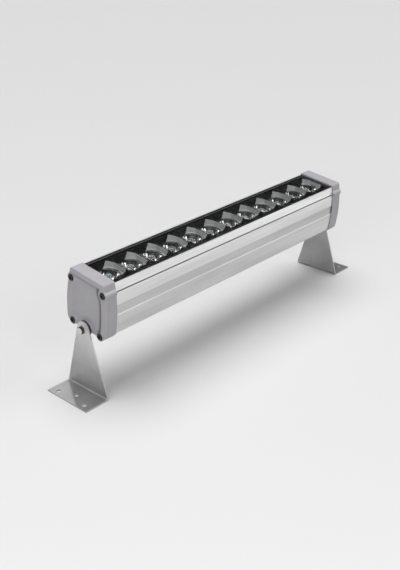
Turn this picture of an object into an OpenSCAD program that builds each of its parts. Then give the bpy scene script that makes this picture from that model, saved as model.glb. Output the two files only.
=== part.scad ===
// Linear wall washer light: an extruded barrel housing with twelve lensed lamps behind
// glass, two cast end caps, and two bent sheet brackets that clamp it at a pivot bolt.
// X runs along the light, Z is up, and the feet stand on Z = 0. Sizes are in millimetres.

/* [Housing] */
// Length of the light over its two end caps
housing_length = 500; // [320:1:1200]
// Widest width of the extruded housing
barrel_width = 74; // [72:0.2:84]
// Radius of the two bowed side walls
side_radius = 194; // [150:1:400]
// Height of the widest line above the pivot axis
widest_height = 26; // [18:0.5:34]
// Height of the top rim above the pivot axis
rim_height = 74.4; // [72:0.2:90]
// Depth of the underside below the pivot axis
underside_depth = 2.4; // [1:0.1:4]
// Wall thickness of the extrusion
wall = 2.2; // [1.6:0.1:2.8]
// Angle by which the housing leans about its pivot
tilt = 7.2; // [-60:0.1:60]

/* [Side bands] */
// Lower edge of the sunk band, above the pivot axis
band_low = 31.2; // [26:0.2:34]
// Upper edge of the sunk band, above the pivot axis
band_high = 44.2; // [38:0.2:50]
// Depth of the sunk band
band_depth = 0.8; // [0.3:0.1:1]
// Width of the slot that opens each upper screw channel
slot_width = 1.3; // [0.8:0.1:2]

/* [End caps] */
// Length of the cap that shows along the light
cap_length = 19; // [17:0.5:30]
// Length of the skirt that sleeves over the extrusion
skirt_depth = 4; // [2:0.5:6]
// How far the cap stands proud of the extrusion
cap_proud = 1; // [0.8:0.1:2]
// Gap between the skirt and the extrusion
skirt_gap = 0.1; // [0.05:0.05:0.3]
// Thickness of the cap over the glass
cap_top = 2.7; // [2:0.1:5]
// Rounding of the cap's two upper edges
cap_edge = 2; // [1:0.1:2.4]
// Thickness of the cap's end wall
cap_wall = 5; // [4:0.1:6]
// Thickness of the wall round the cap's hollow
cap_side_wall = 6; // [4:0.5:8]
// Width of the raised rim round the cap's face
face_rim = 9.4; // [7:0.2:12]
// Height of the raised rim along the top of the face
face_top_rim = 7.5; // [5:0.5:12]
// Depth of the sunk face
face_depth = 1.8; // [0.6:0.1:2.4]
// Slope of the sunk face's walls: how far they draw in for each millimetre of depth
face_draft = 1; // [0.1:0.1:1.5]
// Thickness of the silicone gasket behind each cap
end_gasket = 1.5; // [1:0.1:2.5]

/* [Cap screws] */
// Diameter of the cap screws
screw_d = 5; // [4:0.5:5]
// Length of the cap screws under the head
screw_length = 20; // [16:1:30]
// Depth of the upper screws below the top rim
upper_screw_drop = 12.2; // [11.4:0.1:13]
// Distance of the upper screws in from the face of the bowed side
upper_screw_inset = 3.4; // [3:0.1:3.6]
// Depth of the lower screws below the pivot axis
lower_screw_depth = 0.4; // [0:0.1:1]
// Distance of the lower screws in from the face of the bowed side
lower_screw_inset = 8.5; // [7.2:0.1:10]
// Radius of the upper screw ears
upper_ear = 6.6; // [6:0.1:6.8]
// Radius of the lower screw ears
lower_ear = 6.2; // [6:0.1:7]
// Depth of the recess for the screw head
head_recess = 4; // [2:0.5:4.5]

/* [Glass and lamps] */
// Thickness of the cover glass
glass_thickness = 3; // [2.5:0.1:4]
// Thickness of the rim beside the glass
rim_wall = 2; // [1.6:0.1:3]
// Thickness of the glass gasket
glass_gasket = 0.5; // [0.3:0.1:1]
// Thickness of the ledge that carries the glass
ledge = 1.2; // [1:0.1:1.6]
// Thickness of the black front plate
plate_thickness = 2; // [1.5:0.1:2.5]
// Spacing of the lamps along the light
lamp_pitch = 38.4; // [34:0.1:44]
// Width of the plate left between two wells
plate_web = 1.4; // [1:0.1:4]
// Width of the plate left along each side of the wells
plate_border = 3; // [2:0.1:6]
// Size of the corner cut from each well, along the light
well_corner = 5; // [3:0.2:7]
// Size of the corner cut from each well, across the light
well_corner_across = 10; // [6:0.2:12]
// Depth of each well
well_depth = 4.6; // [4:0.1:8]
// Diameter of the lenses
lens_d = 29.2; // [26:0.2:29.6]
// Rise of the lens dome above its rim
lens_rise = 3.6; // [2:0.1:4.2]
// Height of the lens holders
holder_height = 15.5; // [14:0.5:18]
// Thickness of the lamp board
board_thickness = 1.6; // [1:0.1:2]
// Width of the lamp board
board_width = 56; // [30:1:60]
// Thickness of the shelf that carries the lamp board
shelf = 2.5; // [2:0.1:3.5]

/* [Driver] */
// Length of the driver case
driver_length = 160; // [100:1:180]
// Width of the driver case
driver_width = 40; // [30:1:43]
// Height of the driver case
driver_height = 26; // [18:1:30]
// Thickness of the pad under the driver
driver_pad_thickness = 1.5; // [1:0.1:3]

/* [Cable gland] */
// Height of the gland above the pivot axis
gland_height = 40; // [38:0.5:44]
// Thread diameter of the gland
gland_thread = 16; // [12:0.5:16]
// Diameter of the cable that the gland's seal takes
cable_d = 8; // [5:0.5:8]

/* [Brackets] */
// Height of the pivot axis above the feet
pivot_height = 92.4; // [88:0.2:140]
// Thickness of the bracket sheet
sheet = 2; // [1.5:0.1:3]
// Width of each foot
foot_width = 78.5; // [70:0.5:100]
// Reach of each foot from the upright's outer face
foot_reach = 36.4; // [34:0.2:60]
// Inside radius of the bend
bend_radius = 2; // [1:0.1:3]
// Radius of the bracket's round top
bracket_top = 11; // [10:0.1:13.5]
// Diameter of the three holes in each foot
foot_hole_d = 6.5; // [4:0.1:8]
// Spacing of the two outer holes in each foot
foot_hole_spacing = 52; // [40:0.5:56]
// Distance of the two outer holes from the foot's free edge
outer_hole_inset = 8; // [6:0.1:12]
// Distance of the middle hole from the foot's free edge
middle_hole_inset = 16.4; // [14:0.1:22]

/* [Pivots] */
// Diameter of the pivot bolts
bolt_d = 6; // [6:0.5:8]
// Length of the pivot bolts under the head
bolt_length = 16; // [15:0.5:16.5]
// Radius of the round pad on the cap at the pivot
pivot_pad = 9.5; // [8:0.1:11]
// How far that pad stands proud of the cap's rim
pad_proud = 0.6; // [0.2:0.1:2]
// Radius of the rubber washer
rubber_radius = 11; // [10:0.1:14]
// Thickness of the rubber washer
rubber_thickness = 3; // [2:0.1:5]

/* [Hidden] */
round_fn = 96;
cut = 0.5;
left = -1;
right = 1;

// Along the light
half_length = housing_length / 2;
skirt_end = half_length - cap_length;
profile_end = skirt_end + skirt_depth;
pocket_floor = profile_end + end_gasket;
hollow_end = half_length - cap_wall;
glass_end_gap = 0.5;
plate_length = 2 * (profile_end - glass_end_gap);

// Up the housing, from the glass down to the lamp board
glass_bottom = rim_height - glass_thickness;
ledge_top = glass_bottom - glass_gasket;
plate_gap = 0.1;
plate_slot_top = ledge_top - ledge;
plate_bottom = plate_slot_top - plate_thickness - plate_gap;
plate_top = plate_bottom + plate_thickness;
cup_floor = 0.8;
cup_wall = 0.6;
well_bottom = plate_top - well_depth;
holder_top = well_bottom - cup_floor;
board_top = holder_top - holder_height;
shelf_top = board_top - board_thickness;
shelf_bottom = shelf_top - shelf;
floor_top = wall - underside_depth;

// Across the housing: each bowed side is an arc whose centre lies past the middle line
barrel_half = barrel_width / 2;
bow_offset = side_radius - barrel_half;
function side_at(height, grow = 0) =
    sqrt(pow(side_radius + grow, 2) - pow(height - widest_height, 2)) - bow_offset;
beyond = 2 * barrel_width;
glass_gap = 0.2;
glass_slot = side_at(rim_height) - rim_wall;
glass_half = glass_slot - glass_gap;
ledge_width = 2.5;
ledge_side = glass_slot - ledge_width;
plate_overlap = 1.3;
plate_half = ledge_side + plate_overlap;
plate_slot = plate_half + glass_gap;

// Screws and their channels
upper_screw_height = rim_height - upper_screw_drop;
upper_screw_side = side_at(upper_screw_height) - upper_screw_inset;
lower_screw_side = side_at(-lower_screw_depth) - lower_screw_inset;
screw_places = [
    [-upper_screw_side, upper_screw_height], [upper_screw_side, upper_screw_height],
    [-lower_screw_side, -lower_screw_depth], [lower_screw_side, -lower_screw_depth]
];
screw_fit = 0.05;
channel_r = screw_d / 2 + screw_fit;
channel_wall = 2.4;
channel_outer = screw_d / 2 + channel_wall;
column_r = screw_d / 2 + 3.6;
head_r = 0.85 * screw_d;
head_height = screw_d;
head_gap = 0.7;
cap_hole_gap = 0.25;
cap_hole_r = screw_d / 2 + cap_hole_gap;
socket_flats = 0.8 * screw_d;

// Lamps: as many as fit on the plate
lamp_margin = 3;
lamp_count = floor((plate_length - 2 * lamp_margin) / lamp_pitch);
lamp_x = [for (i = [0 : lamp_count - 1]) (i - (lamp_count - 1) / 2) * lamp_pitch];
board_screw_x = [for (i = [1 : 4 : lamp_count - 2]) lamp_x[i] + lamp_pitch / 2];
board_screw_d = 3;
board_screw_length = 5;
board_screw_head = 5.5;
board_screw_head_height = 1.8;
board_hole_gap = 0.15;
board_screw_inset = 4;
board_screw_side = board_width / 2 - board_screw_inset;
board_screw_places = [for (x = board_screw_x, side = [left, right]) [x, side * board_screw_side]];
well_half = (lamp_pitch - plate_web) / 2 - cup_wall - plate_gap;
well_side = ledge_side - plate_border - cup_wall - plate_gap;

// Lenses and the holders that they drop into
lens_r = lens_d / 2;
lens_gap = 0.15;
holder_skin = 1.05;
holder_r = lens_r + lens_gap + holder_skin;
holder_wall = 1.6;
lens_seat = holder_top - 0.6;
lens_rim = 1;
dome_inset = 0.8;
body_inset = 1.4;
lens_base_r = 5.5;
lens_base = board_top + 2.2;
lens_cavity_r = 3;
lens_cavity_depth = 4;
holder_opening = lens_base_r - 1;

// Pivots
pad_face = half_length + pad_proud;
sheet_inner = pad_face + rubber_thickness;
sheet_outer = sheet_inner + sheet;
pivot_washer_thickness = 1.6;
head_seat = sheet_outer + pivot_washer_thickness;
bolt_flats = 1.625 * bolt_d;
bolt_head_height = 0.66 * bolt_d;
bolt_tip = head_seat - bolt_length;
bolt_hole_end = bolt_tip - 1.2;
washer_hole_r = bolt_d / 2 + 0.2;
bracket_hole_r = bolt_d / 2 + 0.5;
boss_taper = 3;
boss_draw = 3.4;
slip_gap = 0.02;

// Rims round the screws on the cap's face
upper_ear_rim = upper_ear + 1.6;
lower_ear_rim = lower_ear + 0.8;

// Brackets
foot_end = sheet_outer + foot_reach;
bend_centre_x = sheet_outer + bend_radius;
bend_centre_z = sheet + bend_radius;
upright_drop = pivot_height - bend_centre_z;

// Gland, along its own axis from the sunk face outwards
face_floor = half_length - face_depth;
gland_flats = gland_thread + 4;
gland_fit = 0.1;
gland_locknut_height = 3.5;
gland_tail = 1.2;
gland_start = hollow_end - gland_locknut_height - gland_tail;
gland_flange = 5;
gland_collar = 8;
nut_lip = 2;
flange_end = face_floor + gland_flange;
collar_end = flange_end + gland_collar;
seal_end = collar_end + nut_lip;
nut_end = seal_end + nut_lip;
nut_gap = 0.4;
nut_edge = 0.2;
nut_draw = 2.2;
cable_r = cable_d / 2;
cable_gap = 0.6;
seal_wall = 2.2;
seal_r = cable_r + seal_wall;
collar_step = 0.4;
collar_r = gland_thread / 2 - collar_step;

// Carries a drawing in the Y-Z plane to its place between two stations along X
module along_x(start, end) {
    translate([start, 0, 0])
        rotate([90, 0, 90])
            linear_extrude(height = end - start)
                children();
}

// Round bar along X
module bar_x(start, end, r, fn = round_fn) {
    translate([start, 0, 0])
        rotate([0, 90, 0])
            cylinder(h = end - start, r = r, $fn = fn);
}

// Cone along X, with its own radius at each end
module cone_x(start, end, start_r, end_r, fn = round_fn) {
    translate([start, 0, 0])
        rotate([0, 90, 0])
            cylinder(h = end - start, r1 = start_r, r2 = end_r, $fn = fn);
}

// Six-sided bar along X, measured across its flats
module hex_x(start, end, flats) {
    bar_x(start, end, flats / sqrt(3), fn = 6);
}

// Leans the housing about the pivot axis and lifts it to its height
module in_housing() {
    translate([0, 0, pivot_height])
        rotate([tilt, 0, 0])
            children();
}

// Turns a piece drawn for the right end into the one for the side asked for
module at_end(side) {
    mirror([side == left ? 1 : 0, 0, 0])
        children();
}

// Repeats a piece at the four screw positions
module at_screws() {
    for (place = screw_places)
        translate([0, place[0], place[1]])
            children();
}

// Outline between the two bowed sides, grown or drawn in
module bowed(grow) {
    intersection() {
        translate([-bow_offset, widest_height])
            circle(r = side_radius + grow, $fn = 360);
        translate([bow_offset, widest_height])
            circle(r = side_radius + grow, $fn = 360);
    }
}

// Everything between two heights
module slice(low, high, half = beyond) {
    translate([-half, low])
        square([2 * half, high - low]);
}

// Half plane below and outside each lower corner, at 45 degrees past the screw channels
module corner_cut(reach) {
    for (side = [left, right])
        translate([side * lower_screw_side, -lower_screw_depth])
            rotate(side * 45 - 90)
                translate([reach, -beyond])
                    square([beyond, 2 * beyond]);
}

// Outer shape shared by the extrusion, its gasket and the cap's pocket and skin
module outer_outline(grow, top) {
    difference() {
        intersection() {
            bowed(grow);
            slice(-underside_depth - grow, top);
        }
        corner_cut(channel_outer + grow);
    }
    for (side = [left, right])
        translate([side * lower_screw_side, -lower_screw_depth])
            circle(r = channel_outer + grow, $fn = round_fn);
}

// Hollows of the extrusion: driver space, lamp space, plate slots and glass channel
module inner_outline() {
    difference() {
        intersection() {
            bowed(-wall);
            union() {
                slice(floor_top, shelf_bottom);
                slice(shelf_top, plate_bottom);
            }
        }
        for (place = screw_places)
            translate(place)
                circle(r = channel_outer, $fn = round_fn);
        difference() {
            slice(upper_screw_height, plate_bottom + cut);
            slice(upper_screw_height - cut, plate_bottom + 2 * cut, ledge_side);
        }
    }
    slice(plate_bottom, plate_slot_top, plate_slot);
    slice(plate_slot_top - cut, rim_height + cut, ledge_side);
    slice(ledge_top, rim_height + cut, glass_slot);
}

// Sunk bands, screw channel slots and screw channels cut from the profile
module profile_cuts() {
    difference() {
        slice(band_low, band_high);
        bowed(-band_depth);
    }
    difference() {
        slice(upper_screw_height - slot_width / 2, upper_screw_height + slot_width / 2);
        slice(upper_screw_height - slot_width, upper_screw_height + slot_width, upper_screw_side);
    }
    for (place = screw_places)
        translate(place)
            circle(r = channel_r, $fn = round_fn);
}

module housing_extrusion() {
    color("#c8c9cb")
        in_housing()
            difference() {
                along_x(-profile_end, profile_end)
                    difference() {
                        outer_outline(0, rim_height);
                        inner_outline();
                        profile_cuts();
                    }
                for (place = board_screw_places)
                    translate([place[0], place[1], shelf_bottom - cut])
                        cylinder(h = shelf + 2 * cut, r = board_screw_d / 2 + screw_fit, $fn = 32);
            }
}

module glass_cover() {
    color("#dfe8ea", 0.35)
        in_housing()
            along_x(-profile_end + glass_end_gap, profile_end - glass_end_gap)
                slice(glass_bottom, rim_height, glass_half);
}

module glass_gasket() {
    color("#1c1c1e")
        in_housing()
            translate([0, 0, ledge_top])
                linear_extrude(height = glass_gasket)
                    difference() {
                        square([plate_length, 2 * glass_half], center = true);
                        square([plate_length - 2 * ledge_width, 2 * ledge_side], center = true);
                    }
}

// Rectangle with its corners cut, centred: half its size along and across, and the corners' share
module well_outline(along, across, share = 1) {
    flat_x = along - share * well_corner;
    flat_y = across - share * well_corner_across;
    polygon([
        [along, -flat_y], [along, flat_y], [flat_x, across], [-flat_x, across],
        [-along, flat_y], [-along, -flat_y], [-flat_x, -across], [flat_x, -across]
    ]);
}

module front_plate() {
    color("#161618")
        in_housing()
            translate([0, 0, plate_bottom])
                linear_extrude(height = plate_thickness)
                    difference() {
                        square([plate_length, 2 * plate_half], center = true);
                        for (x = lamp_x)
                            translate([x, 0])
                                well_outline(well_half + cup_wall + plate_gap,
                                             well_side + cup_wall + plate_gap);
                    }
}

// Solid between a well's outline at the plate and the smaller one round the lens
module well_taper(grow, top, bottom) {
    lip = 0.3;
    corner_share = 0.8;
    floor_along = lens_r + 0.8;
    floor_across = lens_r + 1.8;
    hull() {
        translate([0, 0, top - lip])
            linear_extrude(height = lip)
                well_outline(well_half + grow, well_side + grow);
        translate([0, 0, bottom])
            linear_extrude(height = lip)
                well_outline(floor_along + grow, floor_across + grow, corner_share);
    }
}

// Tapered cup: eight sloping walls from the plate down to a floor round the lens
module reflector_cup() {
    difference() {
        well_taper(cup_wall, plate_top, holder_top);
        well_taper(0, plate_top + cut, well_bottom);
        translate([0, 0, holder_top - cut])
            cylinder(h = cup_floor + 2 * cut, r = lens_r + lens_gap, $fn = round_fn);
    }
}

module reflector_cups() {
    color("#8f8f90")
        in_housing()
            for (x = lamp_x)
                translate([x, 0, 0])
                    reflector_cup();
}

// Collimator lens: domed front, thin rim, tapered body and a cavity over the emitter
module collimator_lens() {
    dome_r = (pow(lens_r - dome_inset, 2) + pow(lens_rise, 2)) / (2 * lens_rise);
    dome_base = lens_seat + lens_rim;
    difference() {
        union() {
            translate([0, 0, lens_seat])
                cylinder(h = lens_rim, r = lens_r, $fn = round_fn);
            intersection() {
                translate([0, 0, dome_base + lens_rise - dome_r])
                    sphere(r = dome_r, $fn = round_fn);
                translate([0, 0, dome_base])
                    cylinder(h = lens_rise + cut, r = lens_r, $fn = round_fn);
            }
            translate([0, 0, lens_base])
                cylinder(h = lens_seat - lens_base, r1 = lens_base_r, r2 = lens_r - body_inset,
                         $fn = round_fn);
        }
        translate([0, 0, lens_base - cut])
            cylinder(h = lens_cavity_depth + cut, r = lens_cavity_r, $fn = round_fn);
    }
}

module lenses() {
    color("#d8e2e6", 0.5)
        in_housing()
            for (x = lamp_x)
                translate([x, 0, 0])
                    collimator_lens();
}

// Holder: a round tube with a step that carries the lens rim and a floor round the emitter
module lens_holder() {
    difference() {
        translate([0, 0, board_top])
            cylinder(h = holder_height, r = holder_r, $fn = round_fn);
        translate([0, 0, lens_seat])
            cylinder(h = holder_height, r = lens_r + lens_gap, $fn = round_fn);
        translate([0, 0, lens_base])
            cylinder(h = holder_height, r = holder_r - holder_wall, $fn = round_fn);
        translate([0, 0, board_top - cut])
            cylinder(h = holder_height, r = holder_opening, $fn = round_fn);
    }
}

module lens_holders() {
    color("#1a1a1c")
        in_housing()
            for (x = lamp_x)
                translate([x, 0, 0])
                    lens_holder();
}

// Emitter: square base with a small round dome
module led_emitter() {
    base = 3.5;
    base_height = 0.8;
    dome_r = 1.4;
    translate([-base / 2, -base / 2, board_top])
        cube([base, base, base_height]);
    translate([0, 0, board_top + base_height])
        intersection() {
            sphere(r = dome_r, $fn = 48);
            cylinder(h = 2 * dome_r, r = 2 * dome_r, $fn = 48);
        }
}

module led_emitters() {
    color("#e8d98a")
        in_housing()
            for (x = lamp_x)
                translate([x, 0, 0])
                    led_emitter();
}

module led_board() {
    board_length = lamp_count * lamp_pitch;
    color("#e9ebe6")
        in_housing()
            translate([0, 0, shelf_top])
                linear_extrude(height = board_thickness)
                    difference() {
                        square([board_length, board_width], center = true);
                        for (place = board_screw_places)
                            translate(place)
                                circle(r = board_screw_d / 2 + board_hole_gap, $fn = 32);
                    }
}

module board_screws() {
    color("#9a9a9c")
        in_housing()
            for (place = board_screw_places)
                translate([place[0], place[1], board_top]) {
                    cylinder(h = board_screw_head_height, r = board_screw_head / 2, $fn = 32);
                    translate([0, 0, -board_screw_length])
                        cylinder(h = board_screw_length + cut, r = board_screw_d / 2, $fn = 32);
                }
}

module driver_case() {
    case_bottom = floor_top + driver_pad_thickness;
    edge = 3;
    color("#b9bbbd")
        in_housing()
            along_x(-driver_length / 2, driver_length / 2)
                translate([0, case_bottom])
                    polygon([
                        [-driver_width / 2, 0], [driver_width / 2, 0],
                        [driver_width / 2, driver_height - edge],
                        [driver_width / 2 - edge, driver_height],
                        [edge - driver_width / 2, driver_height],
                        [-driver_width / 2, driver_height - edge]
                    ]);
}

module driver_pad() {
    color("#6f7f8f")
        in_housing()
            along_x(-driver_length / 2, driver_length / 2)
                slice(floor_top, floor_top + driver_pad_thickness, driver_width / 2);
}

// Cap silhouette: the housing's outline grown all round, a rounded top and the screw ears
module cap_outline() {
    top = rim_height + cap_top;
    shoulder = top - cap_edge;
    top_half = side_at(shoulder, cap_proud) - slip_gap;
    outer_outline(cap_proud, shoulder);
    slice(shoulder - cut, top, top_half - cap_edge);
    for (side = [left, right])
        translate([side * (top_half - cap_edge), shoulder])
            circle(r = cap_edge, $fn = round_fn);
    for (place = screw_places)
        translate(place)
            circle(r = place[1] > widest_height ? upper_ear : lower_ear, $fn = round_fn);
}

// Rim left standing round a hole in the sunk face, wider at its foot
module face_island(rim_r) {
    cone_x(face_floor - cut, half_length + 2 * cut, rim_r + (face_depth + cut) * face_draft,
           rim_r - 2 * cut * face_draft);
}

// Sunk part of the cap's face: sloping walls under the top and along both sides, open below
module sunk_face() {
    side_r = side_radius + cap_proud - face_rim;
    top = rim_height + cap_top - face_top_rim;
    draw_in = face_depth * face_draft;
    draw_out = cut * face_draft;
    difference() {
        intersection() {
            translate([0, -bow_offset, widest_height])
                cone_x(face_floor, half_length + cut, side_r - draw_in, side_r + draw_out, 360);
            translate([0, bow_offset, widest_height])
                cone_x(face_floor, half_length + cut, side_r - draw_in, side_r + draw_out, 360);
            translate([0, beyond, 0])
                rotate([90, 0, 0])
                    linear_extrude(height = 2 * beyond)
                        polygon([
                            [face_floor, -beyond], [face_floor, top - draw_in],
                            [half_length + cut, top + draw_out], [half_length + cut, -beyond]
                        ]);
        }
        for (place = screw_places)
            translate([0, place[0], place[1]])
                face_island(place[1] > widest_height ? upper_ear_rim : lower_ear_rim);
        face_island(pivot_pad);
    }
}

// Hollow inside the cap, clear of the screw columns and the pivot boss
module hollow_outline() {
    difference() {
        intersection() {
            bowed(-cap_side_wall);
            slice(pivot_pad, plate_bottom - plate_thickness);
        }
        for (place = screw_places)
            translate(place)
                circle(r = column_r, $fn = round_fn);
    }
}

// Boss for the pivot bolt: a round pad at the face that tapers back under the cap
module pivot_boss() {
    bar_x(half_length - boss_taper, pad_face, pivot_pad);
    cone_x(pocket_floor, half_length - boss_taper, pivot_pad - boss_draw, pivot_pad);
}

module end_cap(side) {
    color("#a3a2a5")
        in_housing()
            at_end(side)
                difference() {
                    union() {
                        along_x(skirt_end, half_length)
                            cap_outline();
                        pivot_boss();
                    }
                    along_x(skirt_end - cut, pocket_floor)
                        outer_outline(skirt_gap, rim_height + skirt_gap);
                    along_x(pocket_floor - cut, hollow_end)
                        hollow_outline();
                    sunk_face();
                    at_screws() {
                        bar_x(pocket_floor - cut, half_length + cut, cap_hole_r);
                        bar_x(half_length - head_recess, half_length + cut, head_r + head_gap);
                    }
                    bar_x(bolt_hole_end, pad_face + cut, bolt_d / 2 + screw_fit);
                    if (side == right)
                        translate([0, 0, gland_height])
                            bar_x(hollow_end - cut, half_length, gland_thread / 2 + gland_fit);
                }
}

module end_cap_left() {
    end_cap(left);
}

module end_cap_right() {
    end_cap(right);
}

// Flat silicone gasket: the end of the extrusion with the hollow and screw holes open
module end_gasket_sheet(side) {
    color("#d2d2cf")
        in_housing()
            at_end(side)
                along_x(profile_end, pocket_floor)
                    difference() {
                        outer_outline(0, rim_height);
                        hollow_outline();
                        for (place = screw_places)
                            translate(place)
                                circle(r = cap_hole_r, $fn = round_fn);
                    }
}

module end_gasket_left() {
    end_gasket_sheet(left);
}

module end_gasket_right() {
    end_gasket_sheet(right);
}

// Socket head screw along X, its head at the outer end
module cap_screw() {
    seat = half_length - head_recess;
    difference() {
        union() {
            bar_x(seat - screw_length, seat + cut, screw_d / 2);
            bar_x(seat, seat + head_height, head_r);
        }
        hex_x(seat + head_height / 2, seat + head_height + cut, socket_flats);
    }
}

module cap_screws(side) {
    color("#232326")
        in_housing()
            at_end(side)
                at_screws()
                    cap_screw();
}

module cap_screws_left() {
    cap_screws(left);
}

module cap_screws_right() {
    cap_screws(right);
}

// Rubber washer that grips between the cap and the bracket
module rubber_washer(side) {
    color("#1d1d1f")
        in_housing()
            at_end(side)
                difference() {
                    bar_x(pad_face, sheet_inner - slip_gap, rubber_radius);
                    bar_x(pad_face - cut, sheet_inner + cut, washer_hole_r);
                }
}

module rubber_washer_left() {
    rubber_washer(left);
}

module rubber_washer_right() {
    rubber_washer(right);
}

module pivot_washer(side) {
    color("#c2c0bd")
        in_housing()
            at_end(side)
                difference() {
                    bar_x(sheet_outer + slip_gap, head_seat, bolt_d);
                    bar_x(sheet_outer - cut, head_seat + cut, washer_hole_r);
                }
}

module pivot_washer_left() {
    pivot_washer(left);
}

module pivot_washer_right() {
    pivot_washer(right);
}

// Hex head bolt that clamps the bracket to the cap; its head corners are rounded off
module pivot_bolt(side) {
    head_round = 0.7;
    head_bevel = 1.2;
    corner_r = bolt_flats / sqrt(3);
    color("#cfccc6")
        in_housing()
            at_end(side) {
                bar_x(bolt_tip, head_seat + cut, bolt_d / 2);
                intersection() {
                    hex_x(head_seat, head_seat + bolt_head_height, bolt_flats);
                    union() {
                        bar_x(head_seat - cut, head_seat + bolt_head_height - head_round,
                              corner_r + cut);
                        cone_x(head_seat + bolt_head_height - head_round,
                               head_seat + bolt_head_height, corner_r, corner_r - head_bevel);
                    }
                }
            }
}

module pivot_bolt_left() {
    pivot_bolt(left);
}

module pivot_bolt_right() {
    pivot_bolt(right);
}

// Point where the straight edge from the foot's corner touches the bracket's round top
function edge_touch(side) =
    let (reach = sqrt(pow(foot_width / 2, 2) + pow(upright_drop, 2)),
         turn = atan2(-upright_drop, foot_width / 2) + acos(bracket_top / reach))
    [side * bracket_top * cos(turn), bracket_top * sin(turn)];

// Upright: a round top that widens in straight lines to the foot's full width
module upright_outline() {
    circle(r = bracket_top, $fn = round_fn);
    polygon([
        edge_touch(left), [0, 0], edge_touch(right),
        [foot_width / 2, -upright_drop], [-foot_width / 2, -upright_drop]
    ]);
}

// Bent bracket: upright, quarter-round bend and a foot that points away from the light
module bracket(side) {
    color("#9c9a9d")
        at_end(side)
            difference() {
                union() {
                    translate([0, 0, pivot_height])
                        along_x(sheet_inner, sheet_outer)
                            upright_outline();
                    intersection() {
                        translate([bend_centre_x, foot_width / 2, bend_centre_z])
                            rotate([90, 0, 0])
                                difference() {
                                    cylinder(h = foot_width, r = bend_radius + sheet,
                                             $fn = round_fn);
                                    translate([0, 0, -cut])
                                        cylinder(h = foot_width + 2 * cut, r = bend_radius,
                                                 $fn = round_fn);
                                }
                        translate([sheet_inner, -foot_width / 2, 0])
                            cube([bend_radius + sheet, foot_width, bend_radius + sheet]);
                    }
                    translate([bend_centre_x, -foot_width / 2, 0])
                        cube([foot_end - bend_centre_x, foot_width, sheet]);
                }
                translate([0, 0, pivot_height])
                    bar_x(sheet_inner - cut, sheet_outer + cut, bracket_hole_r);
                for (place = [
                        [foot_end - outer_hole_inset, -foot_hole_spacing / 2],
                        [foot_end - outer_hole_inset, foot_hole_spacing / 2],
                        [foot_end - middle_hole_inset, 0]
                    ])
                    translate([place[0], place[1], -cut])
                        cylinder(h = sheet + 2 * cut, r = foot_hole_d / 2, $fn = round_fn);
            }
}

module bracket_left() {
    bracket(left);
}

module bracket_right() {
    bracket(right);
}

// Moves a gland piece onto the gland's axis in the right cap
module at_gland() {
    in_housing()
        translate([0, 0, gland_height])
            children();
}

module gland_body() {
    color("#2a2a2c")
        at_gland()
            difference() {
                union() {
                    bar_x(gland_start, face_floor + cut, gland_thread / 2);
                    hex_x(face_floor, flange_end, gland_flats);
                    bar_x(flange_end - cut, collar_end, collar_r);
                }
                bar_x(gland_start - cut, collar_end + cut, cable_r + cable_gap);
                bar_x(flange_end, collar_end + cut, seal_r + gland_fit);
            }
}

// Gland nut: six flats, then a taper that draws in round the seal
module gland_nut() {
    color("#2a2a2c")
        at_gland()
            difference() {
                union() {
                    hex_x(flange_end + nut_gap, collar_end, gland_flats);
                    cone_x(collar_end, nut_end, gland_flats / 2 - nut_edge, gland_flats / 2 - nut_draw);
                }
                bar_x(flange_end, collar_end + gland_fit, collar_r + gland_fit);
                bar_x(collar_end, seal_end, seal_r + gland_fit);
                bar_x(seal_end - cut, nut_end + cut, cable_r + cable_gap);
            }
}

module gland_seal() {
    color("#3a3a3c")
        at_gland()
            difference() {
                bar_x(flange_end, seal_end, seal_r);
                bar_x(flange_end - cut, seal_end + cut, cable_r);
            }
}

// Locknut inside the cap
module gland_locknut() {
    color("#2a2a2c")
        at_gland()
            difference() {
                hex_x(hollow_end - gland_locknut_height, hollow_end, gland_flats + 1);
                bar_x(hollow_end - gland_locknut_height - cut, hollow_end + cut,
                      gland_thread / 2 + screw_fit);
            }
}

housing_extrusion();
glass_cover();
glass_gasket();
front_plate();
reflector_cups();
lenses();
lens_holders();
led_emitters();
led_board();
board_screws();
driver_case();
driver_pad();
end_cap_left();
end_cap_right();
end_gasket_left();
end_gasket_right();
cap_screws_left();
cap_screws_right();
rubber_washer_left();
rubber_washer_right();
pivot_washer_left();
pivot_washer_right();
pivot_bolt_left();
pivot_bolt_right();
bracket_left();
bracket_right();
gland_body();
gland_nut();
gland_seal();
gland_locknut();
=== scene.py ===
# Linear wall washer light: finishes, soft studio light and the camera
import math

import bpy
from mathutils import Matrix, Vector

# lengths and places are in metres unless a note says otherwise

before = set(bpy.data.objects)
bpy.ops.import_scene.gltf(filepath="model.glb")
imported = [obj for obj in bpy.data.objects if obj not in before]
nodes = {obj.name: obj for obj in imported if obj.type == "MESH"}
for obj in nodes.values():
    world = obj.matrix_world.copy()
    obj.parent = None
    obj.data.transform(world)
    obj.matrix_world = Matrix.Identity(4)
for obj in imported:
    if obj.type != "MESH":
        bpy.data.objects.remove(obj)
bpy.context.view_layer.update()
print("packed model loaded:", len(nodes), "pieces")

# the housing leans towards the camera's side about the axis of its pivot bolts, which lies along X
housingLean = math.radians(7.2)
pivotHeight = 0.0924
housingOrigin = (0.0, -pivotHeight * math.sin(housingLean), -pivotHeight * math.cos(housingLean))

# Camera

cameraView = {
    "azimuth": -46.35,  # degrees, 0 looks along +Y
    "elevation": 25.92,
    "roll": -1.23,
    "target": (-0.03506, 0.0, 0.07507),
    "distance": 1.2768,
    "sensor": 36.0,  # millimetres along the picture's long side
    "focalLength": 55.206,
    "nearest": 0.01,  # the camera sees nothing closer
    "farthest": 60.0,  # and nothing beyond
}


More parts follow.
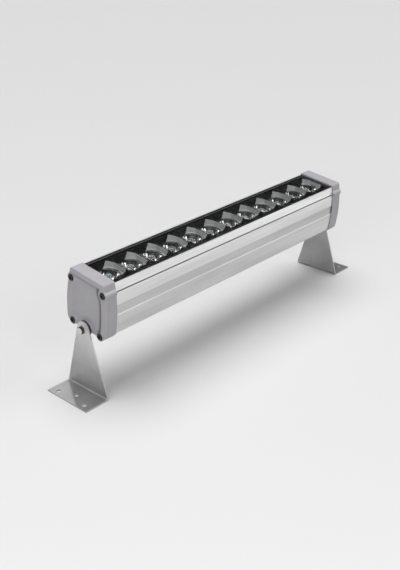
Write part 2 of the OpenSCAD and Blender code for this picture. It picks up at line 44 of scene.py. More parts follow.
def placeCamera(view):
    turn = math.radians(view["azimuth"])
    rise = math.radians(view["elevation"])
    roll = math.radians(view["roll"])
    back = Vector((math.sin(turn) * math.cos(rise), -math.cos(turn) * math.cos(rise), math.sin(rise)))
    level = Vector((math.cos(turn), math.sin(turn), 0.0))
    upright = back.cross(level)
    right = level * math.cos(roll) + upright * math.sin(roll)
    top = upright * math.cos(roll) - level * math.sin(roll)
    lens = bpy.data.cameras.new("photoCamera")
    lens.sensor_width = view["sensor"]
    lens.lens = view["focalLength"]
    lens.clip_start = view["nearest"]
    lens.clip_end = view["farthest"]
    camera = bpy.data.objects.new("photoCamera", lens)
    bpy.context.scene.collection.objects.link(camera)
    turned = Matrix((right, top, back)).transposed().to_4x4()
    camera.matrix_world = Matrix.Translation(Vector(view["target"]) + back * view["distance"]) @ turned
    bpy.context.scene.camera = camera


placeCamera(cameraView)
bpy.context.scene.view_settings.view_transform = "Standard"
print("camera placed")

# Shader nodes: an input is given another node's output, or a plain value

bevelSamples = 4
softDetail = 2.0  # octaves of noise
plainDetail = 3.0
fineDetail = 4.0
noiseSpan = (0.3, 0.7)  # nearly all noise lies between these


def grey(level, tint=(1.0, 1.0, 1.0)):
    return (level * tint[0], level * tint[1], level * tint[2], 1.0)


def addNode(tree, kind, inputs=None, **settings):
    node = tree.nodes.new(kind)
    for name, value in settings.items():
        setattr(node, name, value)
    for name, value in (inputs or {}).items():
        if isinstance(value, bpy.types.NodeSocket):
            tree.links.new(value, node.inputs[name])
        else:
            node.inputs[name].default_value = value
    return node


def addNoise(tree, place, scale, detail):
    inputs = {"Vector": place, "Scale": scale, "Detail": detail}
    return addNode(tree, "ShaderNodeTexNoise", inputs).outputs["Fac"]


def sums(tree, operation, first, second):
    return addNode(tree, "ShaderNodeMath", {0: first, 1: second}, operation=operation).outputs[0]


def without(tree, value):
    return sums(tree, "SUBTRACT", 1.0, value)


def sizeOf(tree, value):
    # the value without its sign
    return sums(tree, "ABSOLUTE", value, 0.0)


def allOf(tree, *masks):
    # masks and strengths multiplied together
    product = masks[0]
    for mask in masks[1:]:
        product = sums(tree, "MULTIPLY", product, mask)
    return product


def remap(tree, value, low, high, fromLow=0.0, fromHigh=1.0):
    inputs = {"Value": value, "From Min": fromLow, "From Max": fromHigh, "To Min": low, "To Max": high}
    return addNode(tree, "ShaderNodeMapRange", inputs).outputs["Result"]


def rises(tree, value, start, full):
    return remap(tree, value, 0.0, 1.0, start, full)


def band(tree, value, start, full, fades, gone):
    # rises from 0 at start to 1 at full, and falls from fades to 0 at gone
    return allOf(tree, rises(tree, value, start, full), remap(tree, value, 1.0, 0.0, fades, gone))


def mixColours(tree, share, first, second):
    # a Mix node's sockets 6 and 7 and its output 2 are the ones for colours, 2, 3 and 0 those for values
    return addNode(tree, "ShaderNodeMix", {0: share, 6: first, 7: second}, data_type="RGBA").outputs[2]


def mixValues(tree, share, first, second):
    return addNode(tree, "ShaderNodeMix", {0: share, 2: first, 3: second}).outputs[0]


def splitAxes(tree, vector):
    return addNode(tree, "ShaderNodeSeparateXYZ", {"Vector": vector}).outputs


def leaningAxes(tree, place):
    # turns packed coordinates into the housing's own: origin on the pivot axis, Z square to the glass
    turned = addNode(tree, "ShaderNodeMapping", {
        "Vector": place, "Location": housingOrigin, "Rotation": (-housingLean, 0.0, 0.0)})
    return splitAxes(tree, turned.outputs[0])


def distanceFrom(tree, axes, across, up):
    # distance from a line along the light, at this place across and up
    offset = addNode(tree, "ShaderNodeCombineXYZ", {
        "Y": sums(tree, "SUBTRACT", axes["Y"], across), "Z": sums(tree, "SUBTRACT", axes["Z"], up)})
    return addNode(tree, "ShaderNodeVectorMath", {0: offset.outputs[0]}, operation="LENGTH").outputs["Value"]


# Effects that several materials share


def newGroup(name, inputs, output):
    group = bpy.data.node_groups.new(name, "ShaderNodeTree")
    for label, kind, value in inputs:
        socket = group.interface.new_socket(name=label, in_out="INPUT", socket_type="NodeSocket" + kind)
        if value is not None:
            socket.default_value = value
    group.interface.new_socket(name=output, in_out="OUTPUT", socket_type="NodeSocketFloat")
    return group, group.nodes.new("NodeGroupInput").outputs, group.nodes.new("NodeGroupOutput").inputs


def buildStreaks():
    # noise on coordinates that are multiplied per axis, so it draws out into lines along the small factor
    group, start, end = newGroup("drawnStreaks", [
        ("Vector", "Vector", None),
        ("Stretch", "Vector", (1.0, 1.0, 1.0)),
        ("Detail", "Float", plainDetail),
        ("Roughness", "Float", 0.62)], "Streaks")
    drawn = addNode(group, "ShaderNodeVectorMath", {0: start["Vector"], 1: start["Stretch"]},
                    operation="MULTIPLY")
    noise = addNode(group, "ShaderNodeTexNoise", {
        "Vector": drawn.outputs[0], "Scale": 1.0, "Detail": start["Detail"], "Roughness": start["Roughness"]})
    group.links.new(noise.outputs["Fac"], end["Streaks"])
    return group


def buildEdgeWear():
    # one less the cosine between the rounded normal and the true one, broken up by noise
    group, start, end = newGroup("edgeWear", [
        ("Vector", "Vector", None),
        ("Radius", "Float", 0.0006),
        ("Patchiness", "Float", 900.0),
        ("Start", "Float", 0.01),
        ("Full", "Float", 0.12)], "Wear")
    rounded = addNode(group, "ShaderNodeBevel", {"Radius": start["Radius"]}, samples=bevelSamples)
    flat = addNode(group, "ShaderNodeNewGeometry")
    along = addNode(group, "ShaderNodeVectorMath", {0: rounded.outputs["Normal"], 1: flat.outputs["Normal"]},
                    operation="DOT_PRODUCT")
    patches = addNoise(group, start["Vector"], start["Patchiness"], fineDetail)
    broken = allOf(group, without(group, along.outputs["Value"]), patches)
    group.links.new(rises(group, broken, start["Start"], start["Full"]), end["Wear"])
    return group


def buildSpecks():
    # small round flecks near the centres of cells, thinned out by a second random value
    group, start, end = newGroup("fineSpecks", [
        ("Vector", "Vector", None),
        ("Scale", "Float", 700.0),
        ("Share", "Float", 0.12),
        ("Size", "Float", 0.22)], "Specks")
    cells = addNode(group, "ShaderNodeTexVoronoi", {"Vector": start["Vector"], "Scale": start["Scale"]})
    near = sums(group, "LESS_THAN", cells.outputs["Distance"], start["Size"])
    parts = addNode(group, "ShaderNodeSeparateColor", {"Color": cells.outputs["Color"]})
    chosen = sums(group, "LESS_THAN", parts.outputs[0], start["Share"])
    group.links.new(allOf(group, near, chosen), end["Specks"])
    return group


drawnStreaks = buildStreaks()
edgeWear = buildEdgeWear()
fineSpecks = buildSpecks()


def placeGroup(tree, group, place, **values):
    inputs = {"Vector": place, **values}
    return addNode(tree, "ShaderNodeGroup", inputs, node_tree=group).outputs[0]


# Materials, and the pieces that wear them


def newMaterial(name, values=None):
    material = bpy.data.materials.new(name)
    material.use_nodes = True
    tree = material.node_tree
    shader = tree.nodes["Principled BSDF"]
    for label, value in (values or {}).items():
        shader.inputs[label].default_value = value
    place = addNode(tree, "ShaderNodeTexCoord").outputs["Object"]
    return material, tree, shader, place


def giveRelief(tree, shader, height, strength, distance, edgeRadius=None):
    inputs = {"Strength": strength, "Distance": distance, "Height": height}
    if edgeRadius is not None:
        rounded = addNode(tree, "ShaderNodeBevel", {"Radius": edgeRadius}, samples=bevelSamples)
        inputs["Normal"] = rounded.outputs[0]
    tree.links.new(addNode(tree, "ShaderNodeBump", inputs).outputs[0], shader.inputs["Normal"])


def dress(material, *names):
    for name in names:
        for slot in nodes[name].material_slots:
            slot.material = material


# Extruded housing: satin anodised, with fine die lines along its length, a darker sunk band, painted light
# and shade by height and a glass seat painted black as painted shade

housingFinish = {
    "metallic": 1.0,
    "light": grey(0.98),
    "dark": grey(0.75),
    "lightShare": (0.12, 0.42),  # least and greatest share of the light tone
    "roughness": (0.30, 0.44),
    "lineStretch": (5.0, 800.0, 800.0),
    "lineDepth": 0.06,
    "lineHeight": 0.0002,
    "cloudStretch": (6.0, 60.0, 60.0),
    "worn": grey(0.86),
    "wearRadius": 0.0004,
    # tone of the finish at heights above the pivot axis: lower side (painted shade, darkest under the ridge),
    # ridge (a painted highlight), sunk band (its own darker tone), upper side, lips of the slot (painted
    # shade), top strip (painted light)
    "tonesAndPaintedLight": ((-0.016, 0.835), (0.0286, 0.72), (0.0288, 0.96), (0.0309, 0.96), (0.0311, 0.655),
              (0.0442, 0.655), (0.0444, 0.875), (0.0611, 0.875), (0.0613, 0.65), (0.0631, 0.65),
              (0.0633, 1.0), (0.080, 1.0)),
    # painted shade: the seat of the glass is painted black, inside this half width and over this height
    "seatHalfWidth": 0.0299,
    "seatHeight": 0.060,
    "paintedShadeBlack": grey(0.012),
}


def toneRamp(tree, value, stops):
    low, high = stops[0][0], stops[-1][0]
    ramp = addNode(tree, "ShaderNodeValToRGB", {"Fac": rises(tree, value, low, high)})
    elements = ramp.color_ramp.elements
    for index, (place, tone) in enumerate(stops):
        element = elements[index] if index < 2 else elements.new(1.0)  # a new ramp has two stops already
        element.position = (place - low) / (high - low)
        element.color = grey(tone)
    return ramp.outputs["Color"]


def satinAluminium(finish):
    material, tree, shader, place = newMaterial("satinAluminium", {"Metallic": finish["metallic"]})
    lines = placeGroup(tree, drawnStreaks, place, Stretch=finish["lineStretch"], Detail=plainDetail)
    clouds = placeGroup(tree, drawnStreaks, place, Stretch=finish["cloudStretch"], Detail=softDetail)
    tone = rises(tree, allOf(tree, lines, clouds), *finish["lightShare"])
    body = mixColours(tree, tone, finish["dark"], finish["light"])
    axes = leaningAxes(tree, place)
    # painted light and shade by height: a painted highlight on the ridge, painted shade on the lower side and
    # in the lips of the slot, painted light on the top strip
    shaded = mixColours(tree, toneRamp(tree, axes["Z"], finish["tonesAndPaintedLight"]), grey(0.0), body)
    wear = placeGroup(tree, edgeWear, place, Radius=finish["wearRadius"])
    worn = mixColours(tree, wear, shaded, finish["worn"])
    # painted shade: the glass seat painted black
    inSeat = allOf(tree, sums(tree, "LESS_THAN", sizeOf(tree, axes["Y"]), finish["seatHalfWidth"]),
                   sums(tree, "GREATER_THAN", axes["Z"], finish["seatHeight"]))
    tree.links.new(mixColours(tree, inSeat, worn, finish["paintedShadeBlack"]), shader.inputs["Base Color"])
    tree.links.new(remap(tree, lines, *finish["roughness"], *noiseSpan), shader.inputs["Roughness"])
    giveRelief(tree, shader, lines, finish["lineDepth"], finish["lineHeight"])
    return material


dress(satinAluminium(housingFinish), "housing_extrusion")

# Cast end caps: grey paint with a fine orange peel, painted shadow in the corners of the sunk face, painted
# shade on the sides and a painted highlight on the tops of the upper ribs

capFinish = {
    "paint": grey(0.395, (1.0, 0.975, 1.02)),
    "shade": grey(0.33, (1.0, 0.975, 1.025)),
    "cloudScale": 60.0,
    "speck": grey(0.5),
    "speckScale": 2200.0,
    "speckShare": 0.25,
    "speckStrength": 0.3,
    "roughness": (0.42, 0.56),
    "peelScale": 1400.0,
    "peelSpan": (0.35, 0.65),
    "peelDepth": 0.12,
    "peelHeight": 0.0002,
    "edge": grey(0.50),
    "edgeRadius": 0.0007,
    "edgeStrength": 0.25,
    "paintedShadow": grey(0.03),
    "paintedShadowStrength": 0.76,
    "sideShade": 0.14,
    "paintedLightTone": grey(0.9),
    "ribHighlight": 0.22,
    # places on a cap: along from the light's middle, across and up from the pivot axis
    "faceFrom": 0.2478,
    "faceTop": 0.0696,
    "bowCentre": (0.157, 0.026),  # across and up
    "bowRadius": 0.1856,
    "nearEar": (-0.0302, 0.0622),
    "earRadius": 0.0082,
    # painted shadow starts, is full, fades and is gone at these distances from the wall, and under the top
    "wallPaintedShadow": (-0.0014, 0.0004, 0.0032, 0.0068),
    "topPaintedShadow": (-0.0010, 0.0006, 0.0012, 0.0046),
    "topPaintedShadowStrength": 0.5,
    # the painted shade on the sides lies within this length, beyond this half width and under this height
    "sideUpTo": 0.2490,
    "sideFrom": 0.0300,
    "sideTop": 0.0758,
    # the upper ears' ribs: beyond this half width, and heights where the painted highlight on the rib's top
    # starts, is full and ends
    "ribFrom": 0.0335,
    "ribHeights": (0.0640, 0.0668, 0.0668, 0.0700),
}


def paintedShadowMask(tree, axes, finish):
    # painted shadow along the walls of the sunk face: the near bowed wall and the near upper ear bound it to
    # the side, and the top wall above
    fromBow = sums(tree, "SUBTRACT", finish["bowRadius"], distanceFrom(tree, axes, *finish["bowCentre"]))
    fromEar = sums(tree, "SUBTRACT", distanceFrom(tree, axes, *finish["nearEar"]), finish["earRadius"])
    inside = sums(tree, "MINIMUM", fromBow, fromEar)
    below = sums(tree, "SUBTRACT", finish["faceTop"], axes["Z"])
    beside = band(tree, inside, *finish["wallPaintedShadow"])
    under = allOf(tree, band(tree, below, *finish["topPaintedShadow"]), finish["topPaintedShadowStrength"])
    onFace = allOf(tree, sums(tree, "GREATER_THAN", sizeOf(tree, axes["X"]), finish["faceFrom"]),
                   rises(tree, below, finish["topPaintedShadow"][0], 0.0),
                   rises(tree, inside, finish["wallPaintedShadow"][0], 0.0))
    return allOf(tree, sums(tree, "MAXIMUM", beside, under), onFace)


def sideMask(tree, axes, finish):
    return allOf(tree, sums(tree, "LESS_THAN", sizeOf(tree, axes["X"]), finish["sideUpTo"]),
                 sums(tree, "GREATER_THAN", sizeOf(tree, axes["Y"]), finish["sideFrom"]),
                 sums(tree, "LESS_THAN", axes["Z"], finish["sideTop"]))


def ribMask(tree, axes, finish):
    return allOf(tree, sums(tree, "GREATER_THAN", sizeOf(tree, axes["Y"]), finish["ribFrom"]),
                 band(tree, axes["Z"], *finish["ribHeights"]))


def castPaint(finish):
    material, tree, shader, place = newMaterial("castPaint")
    axes = leaningAxes(tree, place)
    clouds = addNoise(tree, place, finish["cloudScale"], plainDetail)
    body = mixColours(tree, clouds, finish["shade"], finish["paint"])
    specks = placeGroup(tree, fineSpecks, place, Scale=finish["speckScale"], Share=finish["speckShare"])
    flecked = mixColours(tree, allOf(tree, specks, finish["speckStrength"]), body, finish["speck"])
    # painted shadow along the near wall and under the top lip of the sunk face
    paintedShadow = allOf(tree, paintedShadowMask(tree, axes, finish), finish["paintedShadowStrength"])
    shadowPainted = mixColours(tree, paintedShadow, flecked, finish["paintedShadow"])
    # painted shade: the cap's sides darker than its face and top
    sideShade = allOf(tree, sideMask(tree, axes, finish), finish["sideShade"])
    shaded = mixColours(tree, sideShade, shadowPainted, grey(0.0))
    # painted highlight along the top of the upper ribs
    ribHighlight = allOf(tree, ribMask(tree, axes, finish), finish["ribHighlight"])
    ribHighlighted = mixColours(tree, ribHighlight, shaded, finish["paintedLightTone"])
    wear = placeGroup(tree, edgeWear, place, Radius=finish["edgeRadius"])
    worn = mixColours(tree, allOf(tree, wear, finish["edgeStrength"]), ribHighlighted, finish["edge"])
    tree.links.new(worn, shader.inputs["Base Color"])
    peel = addNoise(tree, place, finish["peelScale"], softDetail)
    tree.links.new(remap(tree, peel, *finish["roughness"], *finish["peelSpan"]), shader.inputs["Roughness"])
    giveRelief(tree, shader, peel, finish["peelDepth"], finish["peelHeight"], finish["edgeRadius"])
    return material


dress(castPaint(capFinish), "end_cap_left", "end_cap_right")

# Sheet brackets: brushed steel, with the lines running round the bend, painted shade and painted light on the
# feet, a painted highlight along the bend and painted light on the left upright

bracketFinish = {
    "metallic": 0.55,
    "light": grey(0.44, (1.0, 0.985, 1.0)),
    "dark": grey(0.32, (1.0, 0.985, 1.01)),
    "toneSpan": (0.7, 1.3),
    "cloudScale": 45.0,
    "roughness": (0.34, 0.50),
    "uprightStretch": (900.0, 1300.0, 9.0),
    "footStretch": (9.0, 1300.0, 900.0),
    "lineDepth": 0.08,
    "lineHeight": 0.0002,
    "edgeRadius": 0.0004,
    "worn": grey(0.72),
    "wearRadius": 0.0005,
    "paintedLightTone": grey(0.9),
    "turnsUpright": (0.0025, 0.0045),  # heights between which the foot's lines become the upright's
    # the foot's top, above this height, is painted darker by this share, as a painted reflection of the
    # upright
    "footTop": 0.00195,
    "footShade": 0.40,
    # painted light on the left foot's paler corner: its slanting edge meets the bend at this place along and
    # across
    "cornerPlace": (0.2580, 0.0385),
    "cornerSlant": 1.68,
    "cornerEdge": (-0.004, 0.003),
    "cornerPaintedLight": 0.27,
    # a painted highlight along the bend: heights, and how much
    "bendHeights": (0.0021, 0.0023, 0.0037, 0.0043),
    "bendHighlight": 0.36,
    # painted light: the left bracket is paler towards its bolt: heights, and how much
    "boltEndHeights": (0.034, 0.092),
    "boltEndPaintedLight": (0.05, 0.52),
}


def brushedSheet(finish):
    material, tree, shader, place = newMaterial("brushedSheet", {"Metallic": finish["metallic"]})
    axes = splitAxes(tree, place)
    height = axes["Z"]
    onUpright = rises(tree, height, *finish["turnsUpright"])
    upright = placeGroup(tree, drawnStreaks, place, Stretch=finish["uprightStretch"], Detail=fineDetail)
    foot = placeGroup(tree, drawnStreaks, place, Stretch=finish["footStretch"], Detail=fineDetail)
    lines = mixValues(tree, onUpright, foot, upright)
    clouds = addNoise(tree, place, finish["cloudScale"], plainDetail)
    tone = rises(tree, sums(tree, "ADD", lines, clouds), *finish["toneSpan"])
    body = mixColours(tree, tone, finish["dark"], finish["light"])

    onLeft = sums(tree, "LESS_THAN", axes["X"], 0.0)
    onFoot = allOf(tree, without(tree, onUpright), sums(tree, "GREATER_THAN", height, finish["footTop"]))
    # how far across a place lies beyond the painted-light corner's slanting edge
    along, across = finish["cornerPlace"]
    slant = allOf(tree, sums(tree, "ADD", axes["X"], along), -finish["cornerSlant"])
    beyond = sums(tree, "SUBTRACT", sums(tree, "ADD", axes["Y"], slant), across)
    inCorner = allOf(tree, rises(tree, beyond, *finish["cornerEdge"]), onLeft)
    # painted shade: the foot darker, as a painted reflection of the upright, except the left foot's corner
    footShadeShare = allOf(tree, onFoot, without(tree, inCorner), finish["footShade"])
    footShaded = mixColours(tree, footShadeShare, body, grey(0.0))

    # painted light on the left foot's corner, a painted highlight along the bend and painted light on the
    # left upright towards its bolt
    cornerPaintedLight = allOf(tree, onFoot, inCorner, finish["cornerPaintedLight"])
    bendHighlight = allOf(tree, band(tree, height, *finish["bendHeights"]), finish["bendHighlight"])
    boltPaintedLight = allOf(tree, remap(tree, height, *finish["boltEndPaintedLight"], *finish["boltEndHeights"]), onLeft)
    paintedLightShare = sums(tree, "MAXIMUM", sums(tree, "MAXIMUM", cornerPaintedLight, boltPaintedLight), bendHighlight)
    lit = mixColours(tree, paintedLightShare, footShaded, finish["paintedLightTone"])
    wear = placeGroup(tree, edgeWear, place, Radius=finish["wearRadius"])
    tree.links.new(mixColours(tree, wear, lit, finish["worn"]), shader.inputs["Base Color"])
    tree.links.new(remap(tree, lines, *finish["roughness"], *noiseSpan), shader.inputs["Roughness"])
    giveRelief(tree, shader, lines, finish["lineDepth"], finish["lineHeight"], finish["edgeRadius"])
    return material


dress(brushedSheet(bracketFinish), "bracket_left", "bracket_right")

# Bolts, washers and screws

fastenerFinish = {
    "zinc": grey(0.86, (1.0, 0.985, 0.96)),
    "zincShade": grey(0.56, (1.0, 0.97, 0.93)),
    "zincRoughness": 0.16,
    "boltRoughness": 0.3,
    "blackOxide": grey(0.016),
    "blackWorn": grey(0.06),
    "blackRoughness": 0.42,
    "blackMetallic": 0.7,
    "sidePaintedShade": grey(0.10, (1.08, 0.94, 0.98)),
    "sidePaintedShadeRadii": (0.0044, 0.0047),  # painted shade starts beyond a bolt head's end face
    "grainScale": 700.0,
    "grainDepth": 0.05,
    "grainHeight": 0.0001,
    "edgeRadius": 0.00035,
    "wearRadius": 0.0004,
    "wearGain": 1.25,  # worn edges are paler than the light tone by this factor and this much
    "wearLift": 0.05,
    "roughnessSpread": (-0.07, 0.10),
}


def metalFastener(name, light, dark, roughness, metallic=1.0, finish=fastenerFinish):
    material, tree, shader, place = newMaterial(name, {"Metallic": metallic})
    grain = addNoise(tree, place, finish["grainScale"], fineDetail)
    wear = placeGroup(tree, edgeWear, place, Radius=finish["wearRadius"])
    worn = grey(min(1.0, light[0] * finish["wearGain"] + finish["wearLift"]))
    body = mixColours(tree, grain, dark, light)
    tree.links.new(mixColours(tree, wear, body, worn), shader.inputs["Base Color"])
    smoothest, roughest = (roughness + change for change in finish["roughnessSpread"])
    tree.links.new(remap(tree, grain, smoothest, roughest, *noiseSpan), shader.inputs["Roughness"])
    giveRelief(tree, shader, grain, finish["grainDepth"], finish["grainHeight"], finish["edgeRadius"])
    return material


def paintShadeOnSides(material, sidePaintedShade, radii):
    # painted shade on a bolt head's flats and bevel, which lie farther from the pivot axis than its end face
    tree = material.node_tree
    colour = tree.nodes["Principled BSDF"].inputs["Base Color"]
    clean = colour.links[0].from_socket
    axes = splitAxes(tree, addNode(tree, "ShaderNodeTexCoord").outputs["Object"])
    outside = rises(tree, distanceFrom(tree, axes, 0.0, pivotHeight), *radii)
    tree.links.new(mixColours(tree, outside, clean, sidePaintedShade), colour)
    return material


zincSteel = metalFastener("zincSteel", fastenerFinish["zinc"], fastenerFinish["zincShade"],
                          fastenerFinish["zincRoughness"])
boltSteel = metalFastener("boltSteel", fastenerFinish["zinc"], fastenerFinish["zincShade"],
                          fastenerFinish["boltRoughness"])
blackScrew = metalFastener("blackScrew", fastenerFinish["blackWorn"], fastenerFinish["blackOxide"],
                           fastenerFinish["blackRoughness"], fastenerFinish["blackMetallic"])
paintShadeOnSides(boltSteel, fastenerFinish["sidePaintedShade"], fastenerFinish["sidePaintedShadeRadii"])
dress(zincSteel, "pivot_washer_left", "pivot_washer_right", "board_screws")
dress(boltSteel, "pivot_bolt_left", "pivot_bolt_right")
dress(blackScrew, "cap_screws_left", "cap_screws_right")

# Rubber and plastics: dark and light tone, roughness, scale of the grain

softFinish = {
    "rubber": (grey(0.022), grey(0.035), 0.62, 900.0),
    "paleSilicone": (grey(0.52), grey(0.58), 0.55, 500.0),
    "thermalPad": (grey(0.14, (0.9, 1.0, 1.15)), grey(0.18, (0.9, 1.0, 1.15)), 0.8, 700.0),
    "glandPlastic": (grey(0.022), grey(0.032), 0.38, 1800.0),
    "holderPlastic": (grey(0.012), grey(0.02), 0.4, 1500.0),
    "driverShell": (grey(0.30), grey(0.34), 0.45, 1200.0),
    "boardMask": (grey(0.72), grey(0.78), 0.5, 400.0),
    "emitterPhosphor": (grey(0.62, (1.0, 0.86, 0.25)), grey(0.7, (1.0, 0.9, 0.3)), 0.35, 900.0),
}

mouldFinish = {
    "cloudScale": 80.0,
    "roughnessSpread": (-0.06, 0.08),
    "grainDepth": 0.1,
    "grainHeight": 0.0001,
    "edgeRadius": 0.0003,
}


def mouldedSurface(name, dark, light, roughness, grainScale, specular=0.5, finish=mouldFinish):
    material, tree, shader, place = newMaterial(name, {"Specular IOR Level": specular})
    grain = addNoise(tree, place, grainScale, plainDetail)
    clouds = addNoise(tree, place, finish["cloudScale"], softDetail)
    tree.links.new(mixColours(tree, clouds, dark, light), shader.inputs["Base Color"])
    smoothest, roughest = (roughness + change for change in finish["roughnessSpread"])
    tree.links.new(remap(tree, grain, smoothest, roughest, *noiseSpan), shader.inputs["Roughness"])
    giveRelief(tree, shader, grain, finish["grainDepth"], finish["grainHeight"], finish["edgeRadius"])
    return material


soft = {name: mouldedSurface(name, *values) for name, values in softFinish.items()}
dress(soft["rubber"], "rubber_washer_left", "rubber_washer_right", "glass_gasket", "gland_seal")
dress(soft["paleSilicone"], "end_gasket_left", "end_gasket_right")
dress(soft["thermalPad"], "driver_pad")
dress(soft["glandPlastic"], "gland_body", "gland_nut", "gland_locknut")
dress(soft["holderPlastic"], "lens_holders")
dress(soft["driverShell"], "driver_case")
dress(soft["boardMask"], "led_board")
dress(soft["emitterPhosphor"], "led_emitters")

# Front plate and lamp wells

plateFinish = {
    "black": grey(0.003),
    "worn": grey(0.006),
    "roughness": 0.5,
    "grainScale": 1600.0,
    "specular": 0.06,
}

cupFinish = {
    "metallic": 0.35,
    "dark": grey(0.17),
    "light": grey(0.235),
    "cloudScale": 120.0,
    "roughness": (0.3, 0.45),
    "specular": 0.15,
    "grainScale": 900.0,
    "grainDepth": 0.06,
    "grainHeight": 0.0001,
    "pitch": 0.0384,
    # a well is painted black as painted shade beyond this half width, which grows to the right of its middle
    # and shrinks to the left
    "blackFrom": 0.01415,
    "rightSlope": 0.66,
    "leftShare": 0.5,  # the slope on the left, as a share of the right one
    "nearCorner": -0.0115,  # a well is also painted black as painted shade nearer than this
    "paintedShadeBlack": grey(0.004),
}

blackPlate = mouldedSurface("satinBlackPlate", plateFinish["black"], plateFinish["worn"],
                            plateFinish["roughness"], plateFinish["grainScale"], plateFinish["specular"])
dress(blackPlate, "front_plate")


def satinGreyCup(finish):
    material, tree, shader, place = newMaterial("satinGreyCup", {
        "Metallic": finish["metallic"], "Specular IOR Level": finish["specular"]})
    clouds = addNoise(tree, place, finish["cloudScale"], softDetail)
    body = mixColours(tree, clouds, finish["dark"], finish["light"])
    # painted shade: the walls along the light and the near corners are painted black, the far wall and the
    # end walls are grey
    axes = leaningAxes(tree, place)
    inPitch = sums(tree, "FLOORED_MODULO", axes["X"], finish["pitch"])
    fromCentre = sums(tree, "SUBTRACT", inPitch, finish["pitch"] / 2)
    along = sums(tree, "MAXIMUM", fromCentre, allOf(tree, fromCentre, finish["leftShare"]))
    edge = sums(tree, "ADD", allOf(tree, along, finish["rightSlope"]), finish["blackFrom"])
    longSide = sums(tree, "GREATER_THAN", sizeOf(tree, axes["Y"]), edge)
    nearSide = sums(tree, "LESS_THAN", axes["Y"], finish["nearCorner"])
    black = sums(tree, "MAXIMUM", longSide, nearSide)
    tree.links.new(mixColours(tree, black, body, finish["paintedShadeBlack"]), shader.inputs["Base Color"])
    grain = addNoise(tree, place, finish["grainScale"], plainDetail)
    tree.links.new(remap(tree, grain, *finish["roughness"], *noiseSpan), shader.inputs["Roughness"])
    giveRelief(tree, shader, grain, finish["grainDepth"], finish["grainHeight"])
    return material


dress(satinGreyCup(cupFinish), "reflector_cups")

# Cover glass and lenses: clear, and let lamp light pass as a thin pane does

glassFinish = {"tint": (0.975, 0.98, 0.98, 1.0), "roughness": 0.02, "specular": 0.05, "ior": 1.45,
               "smearScale": 25.0}
lensFinish = {"tint": (0.84, 0.85, 0.855, 1.0), "roughness": 0.06, "specular": 0.5, "ior": 1.49,
              "smearScale": 300.0}
smearSpan = (0.35, 0.75)


def clearPiece(name, finish):
    material, tree, shader, place = newMaterial(name, {
        "Base Color": finish["tint"], "Transmission Weight": 1.0, "IOR": finish["ior"],
        "Specular IOR Level": finish["specular"]})
    smears = addNoise(tree, place, finish["smearScale"], plainDetail)
    clean, smeared = finish["roughness"] / 2, finish["roughness"] * 2
    tree.links.new(remap(tree, smears, clean, smeared, *smearSpan), shader.inputs["Roughness"])
    shadow = addNode(tree, "ShaderNodeLightPath").outputs["Is Shadow Ray"]
    through = addNode(tree, "ShaderNodeBsdfTransparent", {"Color": finish["tint"]})
    surface = addNode(tree, "ShaderNodeMixShader", {0: shadow, 1: shader.outputs[0], 2: through.outputs[0]})
    tree.links.new(surface.outputs[0], tree.nodes["Material Output"].inputs["Surface"])
    return material


dress(clearPiece("coverGlass", glassFinish), "glass_cover")
dress(clearPiece("clearLens", lensFinish), "lenses")
print("finishes assigned")

# Studio: pale floor, dim room, broad lamps and soft boxes

studio = {
    "floor": {"halfWidth": 28.0, "colour": grey(0.61), "mottled": 1.01, "mottleScale": 3.0, "roughness": 0.9},
    # broad even lamps: the direction they shine from, and how wide they look, in degrees
    "broadLamps": {
        "overheadLamp": {"from": (0.06, 0.16, 1.0), "spread": 55.0, "power": 3.2},
        "frontLamp": {"from": (2.4, -2.72, 1.3), "spread": 54.0, "power": 1.02},
    },
    # the room's light, what the camera sees of it, and a dark card in it that the glass mirrors: the card's
    # direction, its share of the light and the cosines between which it fades
    "room": {"light": 0.09, "seen": 0.84, "card": (0.651, 0.493, 0.577), "cardShade": 0.05,
             "cardEdge": (0.55, 0.85)},
    "boxes": {
        "keyBox": {"place": (-0.6, -1.76, 1.2), "aim": (0.0, 0.0, 0.09), "size": (0.5, 0.5), "power": 5.2},
        "leftBox": {"place": (-1.9, -0.8, 0.7), "aim": (-0.2, 0.0, 0.09), "size": (1.1, 0.9), "power": 11.8},
    },
}


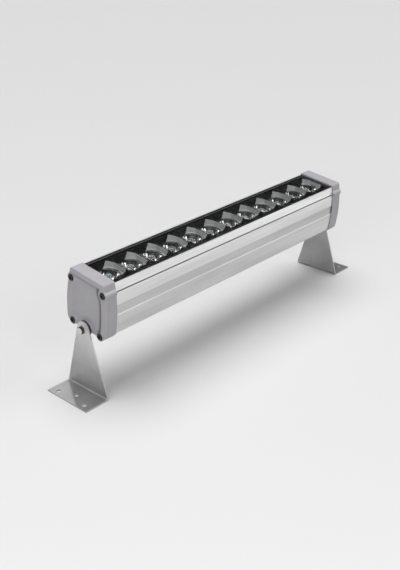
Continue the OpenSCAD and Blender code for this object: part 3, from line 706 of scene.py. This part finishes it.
def layFloor(floor):
    reach = floor["halfWidth"]
    mesh = bpy.data.meshes.new("studioFloor")
    mesh.from_pydata([(-reach, -reach, 0), (reach, -reach, 0), (reach, reach, 0), (-reach, reach, 0)],
                     [], [(0, 1, 2, 3)])
    sheet = bpy.data.objects.new("studioFloor", mesh)
    bpy.context.scene.collection.objects.link(sheet)
    material, tree, shader, place = newMaterial("studioFloor", {"Roughness": floor["roughness"]})
    mottle = addNoise(tree, place, floor["mottleScale"], softDetail)
    paler = grey(floor["colour"][0] * floor["mottled"])
    tree.links.new(mixColours(tree, mottle, floor["colour"], paler), shader.inputs["Base Color"])
    mesh.materials.append(material)


def lightRoom(room):
    world = bpy.data.worlds.new("studioRoom")
    bpy.context.scene.world = world
    world.use_nodes = True
    tree = world.node_tree
    direction = addNode(tree, "ShaderNodeTexCoord").outputs["Generated"]
    toCard = addNode(tree, "ShaderNodeVectorMath", {0: direction, 1: room["card"]}, operation="DOT_PRODUCT")
    light = remap(tree, toCard.outputs["Value"], room["light"], room["light"] * room["cardShade"],
                  *room["cardEdge"])
    seenDirectly = addNode(tree, "ShaderNodeLightPath").outputs["Is Camera Ray"]
    background = tree.nodes["Background"]
    background.inputs["Color"].default_value = grey(1.0)
    tree.links.new(remap(tree, seenDirectly, light, room["seen"]), background.inputs["Strength"])


def hangLamp(name, kind, place, aim):
    lamp = bpy.data.lights.new(name, kind)
    holder = bpy.data.objects.new(name, lamp)
    bpy.context.scene.collection.objects.link(holder)
    away = (Vector(place) - Vector(aim)).to_track_quat("Z", "Y").to_matrix().to_4x4()
    holder.matrix_world = Matrix.Translation(Vector(place)) @ away
    return lamp


def hangBroadLamp(name, values):
    lamp = hangLamp(name, "SUN", values["from"], (0.0, 0.0, 0.0))
    lamp.energy = values["power"]
    lamp.angle = math.radians(values["spread"])


def hangSoftBox(name, box):
    lamp = hangLamp(name, "AREA", box["place"], box["aim"])
    lamp.shape = "RECTANGLE"
    lamp.size, lamp.size_y = box["size"]
    lamp.energy = box["power"]


layFloor(studio["floor"])
lightRoom(studio["room"])
for name, values in studio["broadLamps"].items():
    hangBroadLamp(name, values)
for name, box in studio["boxes"].items():
    hangSoftBox(name, box)
print("studio lit")
